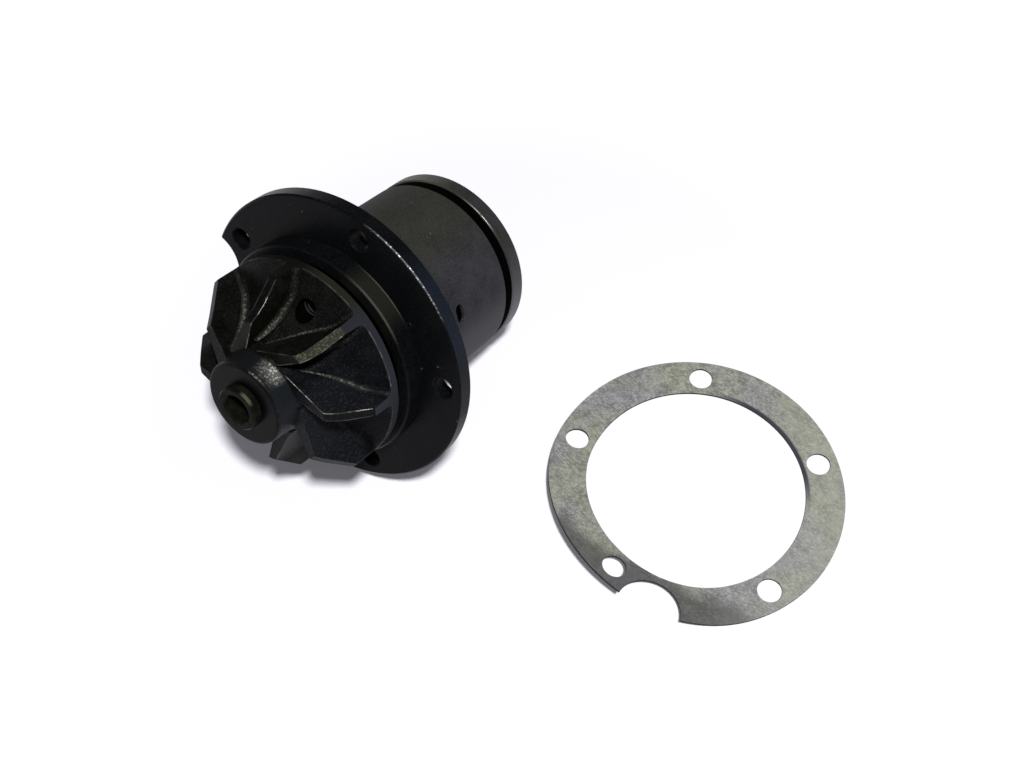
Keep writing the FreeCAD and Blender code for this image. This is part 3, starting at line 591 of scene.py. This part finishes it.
finishes = {
    "housing_iron": phosphated_iron,
    "impeller_iron": sand_cast_iron,
    "hub_steel": blackened_steel,
    "shaft_steel": ground_steel,
    # Honed rings and rolling pieces: the brightest, smoothest metal here.
    "bearing_steel": make_inner_finish(
        "honed bearing steel", "#a9abad", "#c3c5c7", metal=1.0, rough=0.16, grain_mm=1.2, stretch=(1, 1, 4)),
    # Coiled, then kept in oil: blue-grey with a soft shine.
    "spring_steel": make_inner_finish(
        "oiled spring steel", "#5a5d63", "#70737a", metal=1.0, rough=0.34, grain_mm=1.5),
    # Zinc plate on a pressing: paler and cloudy.
    "pressed_steel": make_inner_finish(
        "zinc-plated pressed steel", "#8f9290", "#b0b3b0", metal=0.9, rough=0.36, grain_mm=2.5),
    # Cream nylon with the satin skin of the mould.
    "cage_polyamide": make_inner_finish(
        "moulded polyamide", "#cbbf9f", "#d9cfb3", metal=0.0, rough=0.46, grain_mm=3.0),
    # Moulded nitrile rubber: matt black with a grey bloom.
    "seal_rubber": make_inner_finish(
        "moulded nitrile rubber", "#161617", "#222223", metal=0.0, rough=0.72, grain_mm=0.9),
    # Carbon lapped flat: dark and faintly glossy.
    "seal_carbon": make_inner_finish(
        "lapped carbon", "#2a2b2d", "#353638", metal=0.0, rough=0.30, grain_mm=0.6),
    # Alumina, fired and lapped: an even off-white.
    "seal_ceramic": make_inner_finish(
        "lapped alumina", "#e2e0d8", "#ece9e2", metal=0.0, rough=0.28, grain_mm=2.0),
}
print(len(finishes), "finishes:", ", ".join(sorted(material.name for material in finishes.values())))

# %% [markdown]
# ## Compressed fibre: the gasket
#
# The gasket is punched from a sheet of fibre bound with rubber and rolled under pressure. To the eye it is
# a matt grey between olive and lavender, with a grain of short fibres. It is mottled where the fibres lie
# thicker. Painted shade darkens it toward the notch and painted light makes one side paler. Its punched
# edge is painted darker than its face as painted shade, and a painted shadow darkens the far side of the
# edge of its bore.

# %% Compressed fibre sheet
def make_fibre_sheet():
    """Mottled grey fibre, with painted shade and painted light."""
    material, add = new_material("compressed fibre sheet")
    place = add("TexCoord", {}, {}, "Object")
    point = add("Mapping", {"vector_type": "TEXTURE"}, {
        "Vector": place, "Location": gasket_centre, "Scale": (MM, MM, MM)})
    # Mottling 4 mm across, over broad clouds from the rolling, 25 mm across.
    mottle = add("TexNoise", {}, {"Vector": point, "Scale": 1 / 4, "Detail": 6.0, "Roughness": 0.8})
    mottle = overlap(add, (mottle, 0.32, 0.68))
    clouds = add("TexNoise", {}, {"Vector": point, "Scale": 1 / 25, "Detail": 2.0})
    clouds = overlap(add, (clouds, 0.35, 0.65))
    # Fibres are 0.1 mm thick and 2 mm long; they are drawn at 0.5 mm so that they show.
    fibre = add("Mapping", {}, {"Vector": point, "Rotation": (0, 0, 0.6), "Scale": (1.1, 2.4, 1.0)})
    fibre = add("TexNoise", {}, {"Vector": fibre, "Scale": 0.8, "Detail": 3.0, "Distortion": 0.8})
    # How far the point lies toward the notch, toward the side painted pale and toward the far side.
    toward_notch, toward_painted_light, toward_far = (
        add("VectorMath", DOT, {0: point, 1: way}, "Value")
        for way in ((0.11, -0.99, 0), (0.93, 0.36, 0), (0.39, 0.92, 0)))
    notch_painted_shade = add("Math", TIMES_ADD, {0: clouds, 1: 4.0, 2: toward_notch})
    across = add("VectorMath", TIMES, {0: point, 1: (1, 1, 0)})
    radius = add("VectorMath", LENGTH, {0: across}, "Value")
    cut = add("Attribute", {"attribute_name": "punched_edge"}, {}, "Fac")
    olive = lay_coats(add, "#696b60", ("#979889", mottle))
    lavender = lay_coats(add, "#656569", ("#8f8f93", mottle))
    skin = lay_coats(
        add, olive,
        (lavender, clouds),
        ("#bdbeb0", (fibre, 0.46, 0.66), 0.5),
        # Painted shade darkens the sheet toward the notch, and painted light makes one side pale.
        ("#454546", (notch_painted_shade, 35.5, 41.5), 0.75),
        ("#adae9f", (toward_painted_light, 5.0, 45.0), 0.3),
        # Round the far side a painted shadow darkens the edge of the bore.
        ("#3b3c43", (radius, 40.4, 39.4), (toward_far, 26.0, 36.0)),
        # The punched edges are painted darker, as painted shade.
        ("#2c2c2a", cut))
    close_material(add, skin, 0.0, 0.82, fibre, strength=0.5, depth_mm=0.06, specular=0.2)
    return material


finishes["gasket_fibre"] = make_fibre_sheet()
print(finishes["gasket_fibre"].name, "has", len(finishes["gasket_fibre"].node_tree.nodes), "nodes")

# %% [markdown]
# ## Dressing the imported pieces
#
# The record says which finish each node has. A node's mesh stays as it is, and only the material in its
# slot is changed. Its faces keep the normals they were imported with.

# %% Give every node its finish
slot_of = {part["node"]: part["material_slot"] for part in frame["record"]["subparts"]}
for name, node in frame["nodes"].items():
    node.data.materials.clear()
    node.data.materials.append(finishes[slot_of[name]])
print("dressed", len(frame["nodes"]), "nodes")

# %% [markdown]
# ## The gasket as it lies
#
# A new gasket has been stored in a packet, so it never lies quite flat. The flat solid is replaced by a
# sheet of the same outline whose near side curls up by a few millimetres, which gives it a soft shadow of
# its own. A ring of quads is made first, the holes and the notch are punched by a Boolean modifier, and
# then the sheet is rolled onto a large cylinder that it leaves along one line, so it bends as paper does.

# %% Gasket outline
sheet_inner = mounts["gasket_bore"]["dims"]["r_mm"]
sheet_outer = flange_radius
sheet_thickness = 0.8
hole_radius = mounts["gasket_bolts"]["dims"]["hole_r_mm"]
hole_circle = mounts["gasket_bolts"]["dims"]["pcd_mm"] / 2
hole_angles = [190.7 + 72 * index for index in range(5)]
notch_angle = -76.85
notch_radius = 11.0
print("holes of", 2 * hole_radius, "mm at", hole_angles, "degrees")

# %% A ring of quads as an object
def mesh_object(name, mesh_builder, material):
    """Turns a bmesh into a linked object with one material."""
    mesh = bpy.data.meshes.new(name)
    mesh_builder.to_mesh(mesh)
    mesh_builder.free()
    mesh.materials.append(material)
    piece = bpy.data.objects.new(name, mesh)
    bpy.context.scene.collection.objects.link(piece)
    return piece


def join_rings(shell, rings):
    """Joins each ring of vertices to the next one with quads."""
    for before, ring in zip(rings, rings[1:]):
        for first in range(len(ring)):
            second = (first + 1) % len(ring)
            shell.faces.new([before[first], before[second], ring[second], ring[first]])


def flat_ring(inner, outer, thickness, around, across):
    """A flat ring as a closed shell of quads, in millimetres."""
    shell = bmesh.new()
    radii = np.linspace(inner, outer, across + 1)
    section = [(radius, thickness) for radius in radii] + [(radius, 0) for radius in radii[::-1]]
    rings = []
    for angle in np.linspace(0, 2 * math.pi, around, endpoint=False):
        rings.append([shell.verts.new((radius * math.cos(angle), radius * math.sin(angle), height))
                      for radius, height in section])
    join_rings(shell, rings + rings[:1])
    return shell


sheet = flat_ring(sheet_inner, sheet_outer, sheet_thickness, around=240, across=6)
gasket = mesh_object("fibre_gasket", sheet, finishes["gasket_fibre"])
print("sheet with", len(gasket.data.polygons), "faces")

# %% Punch the holes and the notch
punches = bmesh.new()
for angle, distance, radius in ([(one, hole_circle, hole_radius) for one in hole_angles]
                                + [(notch_angle, sheet_outer, notch_radius)]):
    at = (distance * math.cos(math.radians(angle)), distance * math.sin(math.radians(angle)),
          sheet_thickness / 2)
    bmesh.ops.create_cone(punches, cap_ends=True, segments=64, radius1=radius, radius2=radius,
                          depth=5 * sheet_thickness, matrix=Matrix.Translation(at))
punch = mesh_object("punch", punches, finishes["gasket_fibre"])
cut = gasket.modifiers.new("punch", "BOOLEAN")
cut.operation = "DIFFERENCE"
cut.solver = "EXACT"
cut.object = punch
bpy.context.view_layer.update()
punched = bpy.data.meshes.new_from_object(gasket.evaluated_get(bpy.context.evaluated_depsgraph_get()))
gasket.modifiers.clear()
gasket.data = punched
bpy.data.objects.remove(punch)
print("punched sheet with", len(punched.polygons), "faces")

# %% Curl the sheet and mark its cut edges
curl_toward = math.radians(247.9)
curl_from = 10.8
curl_radius = 106.8
points = np.empty(len(punched.vertices) * 3, np.float32)
punched.vertices.foreach_get("co", points)
points = points.reshape(-1, 3).astype(float)
toward = np.array([math.cos(curl_toward), math.sin(curl_toward)])
reach = points[:, :2] @ toward
height = points[:, 2].copy()
rolled = np.maximum(reach - curl_from, 0) / curl_radius
curled = np.minimum(reach, curl_from) + (curl_radius - height) * np.sin(rolled)
points[:, :2] += np.outer(curled - reach, toward)
points[:, 2] = curl_radius - (curl_radius - height) * np.cos(rolled)
points = points * MM + np.array(gasket_centre)
punched.vertices.foreach_set("co", points.astype(np.float32).ravel())
punched.update()
# Faces that stand up are the punched edges.
steep = 0.6
edge = punched.attributes.new("punched_edge", "FLOAT", "FACE")
edge.data.foreach_set("value", [1.0 if abs(face.normal.z) < steep else 0.0 for face in punched.polygons])
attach(gasket, "gasket")
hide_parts("mounting_gasket")
print("the sheet's near side is", round(float(points[:, 2].max()) / MM, 2), "mm above the surface")

# %% [markdown]
# ## Root fillets of the vanes
#
# No foundry leaves a sharp inside corner, because iron tears there as it cools: where a vane grows out of
# the floor there is a fillet. A fillet is what a ball leaves when it rolls along the corner and touches
# both sides. So at many places along each vane the ball is set against the flank and lowered until it
# meets the floor, and the arc between its two contacts is joined to the next one. Each strip is closed
# inside the metal, so that it is a solid bead.

# %% The impeller's floor, as turned round the axis
floor_slope = 0.4
flank_slope = 25.0
sweep_radius = 23.0
corner_radius = (boss_radius * flank_slope + boss_height - rim_front - floor_slope * rim_radius) / (
    flank_slope - floor_slope)
corner_height = rim_front + floor_slope * (rim_radius - corner_radius)
to_rim = np.array([1, -floor_slope]) / math.hypot(1, floor_slope)
to_boss = np.array([-1, flank_slope]) / math.hypot(1, flank_slope)
half_turn = (math.pi - math.acos(float(to_rim @ to_boss))) / 2
middle = (to_rim + to_boss) / np.linalg.norm(to_rim + to_boss)
sweep_centre = np.array([corner_radius, corner_height]) + middle * sweep_radius / math.cos(half_turn)
sweep_outer = corner_radius + to_rim[0] * sweep_radius * math.tan(half_turn)
sweep_inner = corner_radius + to_boss[0] * sweep_radius * math.tan(half_turn)


def floor_height(radius):
    """Height of the floor, or of the flank of the boss, at a radius."""
    straight = rim_front + floor_slope * (rim_radius - radius)
    arc = sweep_centre[1] - np.sqrt(np.maximum(sweep_radius ** 2 - (radius - sweep_centre[0]) ** 2, 0))
    flank = boss_height - flank_slope * (radius - boss_radius)
    height = np.where(radius > sweep_outer, straight, np.where(radius > sweep_inner, arc, flank))
    return np.where(radius < boss_radius, boss_height, height)


for radius in (36.5, 30.0, 24.0, 18.0):
    print("floor at radius", radius, "is", round(float(floor_height(np.array(radius))), 2), "mm up")

# %% The course of one vane
vane_count = 8
vane_pitch = 2 * math.pi / vane_count
first_vane = math.radians(-12.5)
bend_start = 30.7
bend_radius = 12.0
bend = {1: math.radians(20.0), -1: math.radians(31.0)}
draft = math.radians(3.2)
half_top = 1.25
rim_taper = 0.1
root_length = 16
station_step = 0.6


def vane_turn(index):
    """The rotation that takes the vane drawn at the top to its own place, counted clockwise."""
    return Matrix.Rotation(-(first_vane + vane_pitch * index), 3, "Z")


def half_thickness(height):
    """Half of a vane's thickness at a height: the draft makes it thicker toward the floor."""
    return half_top + (inlet_height - height) * math.tan(draft)


def vane_stations(side):
    """Points down the middle of a vane with the outward direction of one flank, from the rim inwards."""
    bend_centre = np.array([-bend_radius, bend_start])
    for reach in np.linspace(rim_radius, bend_start, 9):
        yield np.array([side * rim_taper * (bend_start - reach), reach]), np.array([side, 0.0])
    for turn in np.linspace(0, bend[side], 16)[1:]:
        arm = np.array([math.cos(turn), -math.sin(turn)])
        yield bend_centre + bend_radius * arm, side * arm
    arm = np.array([math.cos(bend[side]), -math.sin(bend[side])])
    inward = np.array([-math.sin(bend[side]), -math.cos(bend[side])])
    for run in np.arange(station_step, root_length, station_step):
        yield bend_centre + bend_radius * arm + inward * run, side * arm


print(len(list(vane_stations(1))), "stations along each flank")

# %% Roll the ball along the root
ball = 2.2
bead_sink = 0.012
floor_reach = 22.0
floor_step = 0.04
least_turn = 0.05
least_drop = 0.3


def fillet_section(start, outward):
    """The arc between the two contacts, as (across, height) points, or None where there is no corner."""
    across = np.arange(half_top - 1.0, floor_reach, floor_step)
    radii = np.hypot(start[0] + outward[0] * across, start[1] + outward[1] * across)
    floor = np.stack([across, floor_height(radii)], 1)
    low, high = rim_front - 1.0, boss_height
    # Halving the span 26 times finds the lowest place of the ball to a millionth of a millimetre.
    for _ in range(26):
        level = (low + high) / 2
        centre = np.array([half_thickness(level) + ball / math.cos(draft), level])
        gaps = np.hypot(*(floor - centre).T)
        under = np.interp(centre[0], floor[:, 0], floor[:, 1]) > level
        if under or gaps.min() < ball:
            low = level
        else:
            high = level
    foot = floor[gaps.argmin()] - centre
    if centre[1] > inlet_height - least_drop:
        return None
    end = math.atan2(foot[1], foot[0])
    begin = -math.pi + draft
    end = end if end < 0 else end - 2 * math.pi
    turns = np.linspace(begin, max(end, begin + least_turn), 7)
    arc = centre + ball * np.stack([np.cos(turns), np.sin(turns)], 1)
    # One more point, inside the metal, closes the section.
    corner = np.array([half_thickness(arc[-1][1]) - 0.35, arc[-1][1] - 0.45])
    return np.vstack([arc - bead_sink, corner])


sample = fillet_section(np.array([0, 33.0]), np.array([1.0, 0.0]))
print("a bead is", round(float(sample[-2][0] - sample[0][0]), 2), "mm wide and",
      round(float(sample[0][1] - sample[-2][1]), 2), "mm high")

# %% Join the arcs into beads
def join_tube(shell, rings):
    """Joins rings of vertices into a tube that is closed at both ends."""
    join_rings(shell, rings)
    shell.faces.new(rings[0])
    shell.faces.new(rings[-1][::-1])


def impeller_object(name, shell):
    """An object from a shell that was drawn in millimetres in the pump's own axes."""
    bmesh.ops.recalc_face_normals(shell, faces=shell.faces)
    shell.transform(pump_to_scene @ Matrix.Scale(MM, 4))
    return mesh_object(name, shell, sand_cast_iron)


beads = bmesh.new()
wear = beads.verts.layers.float.new("root_wear")
# How bare a bead is, and how strong its painted glint, from the flank of the vane across to the floor and
# then inside the metal.
bead_wear_and_glint = (0.0, 0.1, 0.5, 1.0, 0.45, 0.05, 0.0, 0.0)
bead_end = rim_radius - 0.03
for index in range(vane_count):
    for side in (1, -1):
        rings = []
        for start, outward in vane_stations(side):
            section = fillet_section(start, outward)
            if section is None:
                break
            rings.append([])
            for (across, height), rubbed in zip(section, bead_wear_and_glint):
                flat = start + outward * across
                flat = flat * min(1.0, bead_end / np.linalg.norm(flat))
                vert = beads.verts.new(vane_turn(index) @ Vector((*flat, height)))
                vert[wear] = rubbed
                rings[-1].append(vert)
        join_tube(beads, rings)
fillets = impeller_object("impeller_root_fillets", beads)
fillets.data.shade_smooth()
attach(fillets, "rotor")
print("beads with", len(fillets.data.polygons), "faces")

# %% [markdown]
# ## Worn edges of the impeller
#
# The long edges along the tops of the vanes and the front edge of the rim are the first places to be
# knocked, so they are rounded and shine. A knife edge reflects nothing, however bright its metal is, so
# each edge gets a thin rounded bead, sunk so that only its outer side stands in the light.

# %% Where the edges run
edge_radius = 0.16
edge_sink = 0.09
edge_margin = 0.1


def top_edge(start, outward):
    """The corner between one flank of a vane and its trimmed top: its place seen from above and height."""
    height = inlet_height
    # The place depends on the height and the height on the place; twelve rounds settle both.
    for _ in range(12):
        flat = start + outward * half_thickness(height)
        height = min(inlet_height, inlet_height - land_slope * (np.linalg.norm(flat) - inlet_corner))
    return flat, height


def edge_path(side):
    """Points along the top of one flank from the rim to the hub, each with the direction out of the flank."""
    for start, outward in vane_stations(side):
        flat, height = top_edge(start, outward)
        reach = np.linalg.norm(flat)
        if floor_height(np.array(reach)) > height - least_drop:
            return
        if reach < rim_radius - edge_margin:
            yield np.append(flat, height), np.append(outward, 0.0)


def rim_path(first, last):
    """Points along the front edge of the disc between two clock angles, each with its outward direction."""
    for turn in np.linspace(first, last, 24):
        out = np.array([math.sin(turn), math.cos(turn), 0.0])
        yield out * rim_radius + np.array([0, 0, rim_front]), out


print("a vane's edge starts", [round(float(value), 2) for value in next(edge_path(1))[0]], "in mm")

# %% Run a thin bead along each edge
edge_sides = 6


def add_bead(shell, layer, path, spin, wear):
    """A tube with flat sides along a path."""
    rings = []
    for place, outward in path:
        middle = place - outward * edge_sink - np.array([0, 0, edge_sink])
        rings.append([])
        for turn in np.linspace(0, 2 * math.pi, edge_sides + 1)[:-1]:
            point = middle + edge_radius * (outward * math.cos(turn) + np.array([0, 0, math.sin(turn)]))
            vert = shell.verts.new(spin @ Vector(point))
            vert[layer] = wear
            rings[-1].append(vert)
    join_tube(shell, rings)


edges = bmesh.new()
edge_layer = edges.verts.layers.float.new("edge_wear")
# The worn stretch of the rim begins and ends this far from the middle of a vane.
rim_margin = math.radians(7)
# How bare the right edge, the left edge and the rim are at each vane, clockwise from the first.
edge_bareness = [(0.7, 0.08, 0.25), (0.3, 0.15, 0.35), (0.15, 0.8, 0.12), (0.04, 0.04, 0.1)]
edge_bareness += [(0.1, 0.1, 0.1)] * 4
for index, (right, left, rim) in enumerate(edge_bareness):
    for path, bare in ((edge_path(1), right), (edge_path(-1), left),
                       (rim_path(rim_margin, vane_pitch - rim_margin), rim)):
        add_bead(edges, edge_layer, path, vane_turn(index), bare)
worn_edges = impeller_object("impeller_worn_edges", edges)
worn_edges.data.shade_smooth()
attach(worn_edges, "rotor")
print("worn edges with", len(worn_edges.data.polygons), "faces")

# %% [markdown]
# ## Thread of the puller holes
#
# The two holes in the floor take the screws of a puller, so they are tapped. The solid has plain holes of
# the core size. A thread is a ridge that climbs as it goes round, so one is made as a helix with the
# section of a small triangle and set into each hole.

# %% Thread ridges
thread_pitch = 1.25
ridge_root = core_radius + 0.15
half_ridge = 0.55
thread_low, thread_high = 12.2, 16.6
steps_per_turn = 40


def thread_ridge(shell, centre):
    """A helical ridge on the wall of a hole: its crest points at the hole's axis."""
    turns = (thread_high - thread_low) / thread_pitch
    steps = int(turns * steps_per_turn)
    run_out = steps_per_turn / 2
    rings = []
    for step in range(steps + 1):
        angle = 2 * math.pi * turns * step / steps
        height = thread_low + (thread_high - thread_low) * step / steps
        crest = core_radius - ridge_depth * min(1.0, step / run_out, (steps - step) / run_out)
        rings.append([
            shell.verts.new((centre[0] + radius * math.cos(angle), centre[1] + radius * math.sin(angle),
                             height + lift))
            for radius, lift in ((ridge_root, -half_ridge), (crest, 0.0), (ridge_root, half_ridge))])
    join_tube(shell, rings)


threads = bmesh.new()
for clock in (puller_clock, puller_clock + math.pi):
    thread_ridge(threads, (puller_circle * math.sin(clock), puller_circle * math.cos(clock)))
thread_piece = impeller_object("puller_threads", threads)
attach(thread_piece, "rotor")
print("threads with", len(thread_piece.data.polygons), "faces")

# %% [markdown]
# ## Floor, sky and lamp
#
# The pump lies on white. The floor is a plain matt white that still takes the shadow, and the last touch
# of white is added only for rays from the camera, from reflections and through glass, so it puts no light
# on the pump. One soft lamp hangs above, leaning a little to the right and to the front, and a pale, bluish
# sky fills the shadows.

# %% Floor
floor_half_width = 4.0
floor_gap = 0.1
floor_mesh = bmesh.new()
bmesh.ops.create_grid(floor_mesh, x_segments=1, y_segments=1, size=floor_half_width)
floor_material, add = new_material("matt white floor")
rays = add("LightPath", {}, {}).node.outputs
seen = add("Math", ADD, {0: rays["Is Camera Ray"], 1: rays["Is Glossy Ray"]})
seen = add("Math", ADD, {0: seen, 1: rays["Is Transmission Ray"]})
place = add("TexCoord", {}, {}, "Object")
# The glow grows with the distance from the middle, so that the floor ends in plain white.
away = add("VectorMath", LENGTH, {0: place}, "Value")
near = add("MapRange", SOFT_STEP, {"Value": away, "From Min": 0.12, "From Max": 0.32,
                                   "To Min": 0.08, "To Max": 0.6})
white = add("Math", ADD, {0: near, 1: overlap(add, (away, 0.4, 1.5), 0.4)})
glow = add("Emission", {}, {"Color": "#ffffff", "Strength": overlap(add, seen, white)})
matt_white = add("BsdfDiffuse", {}, {"Color": "#f2f1f6"})
both = add("AddShader", {}, {0: matt_white, 1: glow})
add("OutputMaterial", {}, {"Surface": both})
floor = mesh_object("floor", floor_mesh, floor_material)
floor.location.z = -floor_gap * MM
floor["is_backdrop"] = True
print("floor is", floor.dimensions.x, "m across")

# %% Sky and lamp
world = bpy.data.worlds.new("pale sky")
world.use_nodes = True
world.node_tree.nodes.clear()
add = functools.partial(add_node, world.node_tree)
direct = add("LightPath", {}, {}, "Is Camera Ray")
hue = lay_coats(add, "#e2e3ff", ("#ffffff", direct))
level = add("MapRange", {}, {"Value": direct, "To Min": 0.12})
sky = add("Background", {}, {"Color": hue, "Strength": level})
add("OutputWorld", {}, {"Surface": sky})
bpy.context.scene.world = world

lamp = bpy.data.lights.new("soft key", "AREA")
lamp.shape = "DISK"
lamp.size = 0.2
lamp.energy = 42
lamp_distance = 2.0
key = bpy.data.objects.new("soft key", lamp)
bpy.context.scene.collection.objects.link(key)
toward_key = Vector((0.32, -0.225, 1.0)).normalized()
key.location = toward_key * lamp_distance
key.rotation_mode = "QUATERNION"
key.rotation_quaternion = toward_key.to_track_quat("Z", "Y")
bpy.context.scene.view_settings.view_transform = "Standard"
print("key lamp", [round(value, 2) for value in key.location], "m")

# %% Print the boxes and finish
shown_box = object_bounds()
sizes = {"cad": [list(corner) for corner in cad_box], "shown": [list(corner) for corner in shown_box]}
print("CAD box", sizes["cad"])
print("shown box", sizes["shown"])
